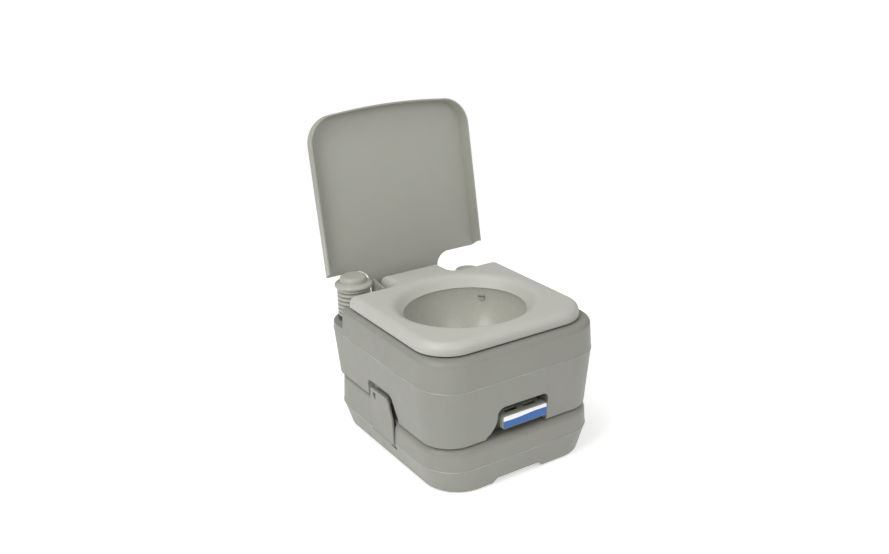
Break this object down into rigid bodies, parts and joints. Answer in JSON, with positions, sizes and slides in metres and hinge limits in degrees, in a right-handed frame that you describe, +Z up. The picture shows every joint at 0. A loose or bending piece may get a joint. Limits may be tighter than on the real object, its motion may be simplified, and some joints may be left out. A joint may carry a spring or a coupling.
{
  "type": "portable camp toilet",
  "caption": "Two-piece portable camp toilet: hollow waste tank with pull valve and swing-out spout, clipped under a flush tank with bowl, bellows pump, hinged seat and lid.",
  "frame": {"origin": "on the floor under the middle of the tanks", "axes": "+Z up, -Y towards the valve handle at the front, -X towards the pump's side"},
  "size_m": [0.366, 0.4631, 0.6027],
  "materials": {
    "tank_plastic": "satin moulded grey",
    "seat_plastic": "satin moulded light grey",
    "bowl_plastic": "smooth light grey",
    "dark_plastic": "plain moulded",
    "rubber": "soft black",
    "bellows_rubber": "soft grey",
    "hose": "smooth",
    "steel": "bright",
    "pin_plastic": "smooth",
    "label": "printed two-tone film"
  },
  "bodies": {
    "base": {"waste_tank": "tank_plastic", "valve_housing": "dark_plastic", "valve_seal": "rubber", "valve_screws": "steel", "latch_pins": "steel", "spout_retainer": "dark_plastic", "spout_swivel_seal": "rubber"},
    "valve": {"valve_blade": "dark_plastic", "valve_handle": "tank_plastic", "handle_label": "label"},
    "left_latch": {"latch_left": "tank_plastic"},
    "right_latch": {"latch_right": "tank_plastic"},
    "spout": {"pour_spout": "tank_plastic"},
    "spout_gasket": {"spout_cap_seal": "rubber"},
    "spout_screw_cap": {"spout_cap": "tank_plastic"},
    "flush": {"flush_tank": "tank_plastic", "bowl": "bowl_plastic", "bowl_outlet_seal": "rubber", "flush_spreader": "dark_plastic", "flush_hose": "hose", "pump_base": "dark_plastic", "pump_valve_body": "dark_plastic", "pump_check_ball": "dark_plastic", "pump_pickup_tube": "dark_plastic", "pump_strainer": "dark_plastic", "hinge_pin_left": "pin_plastic", "hinge_pin_right": "pin_plastic"},
    "pump_head": {"pump_bellows": "bellows_rubber", "pump_collar": "tank_plastic", "pump_knob": "tank_plastic"},
    "filler_gasket": {"filler_cap_seal": "rubber"},
    "filler_screw_cap": {"filler_cap": "tank_plastic"},
    "seat_ring": {"seat": "seat_plastic", "seat_bumpers": "rubber"},
    "lid_panel": {"lid": "seat_plastic"}
  },
  "joints": [
    {"name": "valve_pull", "type": "slide", "parent": "base", "child": "valve", "axis": [0, -1, 0], "range_m": [0, 0.11]},
    {"name": "left_latch_swing", "type": "hinge", "parent": "base", "child": "left_latch", "pos_m": [-0.175, -0.006, 0.046], "axis": [0, -1, 0], "range_deg": [0, 50]},
    {"name": "right_latch_swing", "type": "hinge", "parent": "base", "child": "right_latch", "pos_m": [0.175, -0.006, 0.046], "axis": [0, 1, 0], "range_deg": [0, 50]},
    {"name": "spout_swing", "type": "hinge", "parent": "base", "child": "spout", "pos_m": [0.058, 0.152, 0.07], "axis": [0, 0, -1], "range_deg": [0, 90]},
    {"name": "spout_cap_off", "type": "slide", "parent": "spout", "child": "spout_gasket", "axis": [-1, 0, 0], "range_m": [0, 0.04]},
    {"name": "spout_cap_turn", "type": "hinge", "parent": "spout_gasket", "child": "spout_screw_cap", "pos_m": [-0.062, 0.152, 0.076], "axis": [-1, 0, 0], "continuous": true},
    {"name": "flush_lift", "type": "slide", "parent": "base", "child": "flush", "axis": [0, 0, 1], "range_m": [0, 0.2]},
    {"name": "pump_press", "type": "slide", "parent": "flush", "child": "pump_head", "axis": [0, 0, 1], "range_m": [-0.022, 0], "stiffness_N_per_m": 400, "springref_m": 0.012, "deforming": ["pump_bellows"]},
    {"name": "filler_cap_lift", "type": "slide", "parent": "flush", "child": "filler_gasket", "axis": [0, 0, 1], "range_m": [0, 0.04]},
    {"name": "filler_cap_turn", "type": "hinge", "parent": "filler_gasket", "child": "filler_screw_cap", "pos_m": [0.131, 0.165, 0.25], "axis": [0, 0, 1], "continuous": true},
    {"name": "seat_hinge", "type": "hinge", "parent": "flush", "child": "seat_ring", "pos_m": [0, 0.167, 0.253], "axis": [-1, 0, 0], "range_deg": [0, 100]},
    {"name": "lid_hinge", "type": "hinge", "parent": "flush", "child": "lid_panel", "pos_m": [0, 0.167, 0.253], "axis": [-1, 0, 0], "range_deg": [-100, 0]}
  ]
}
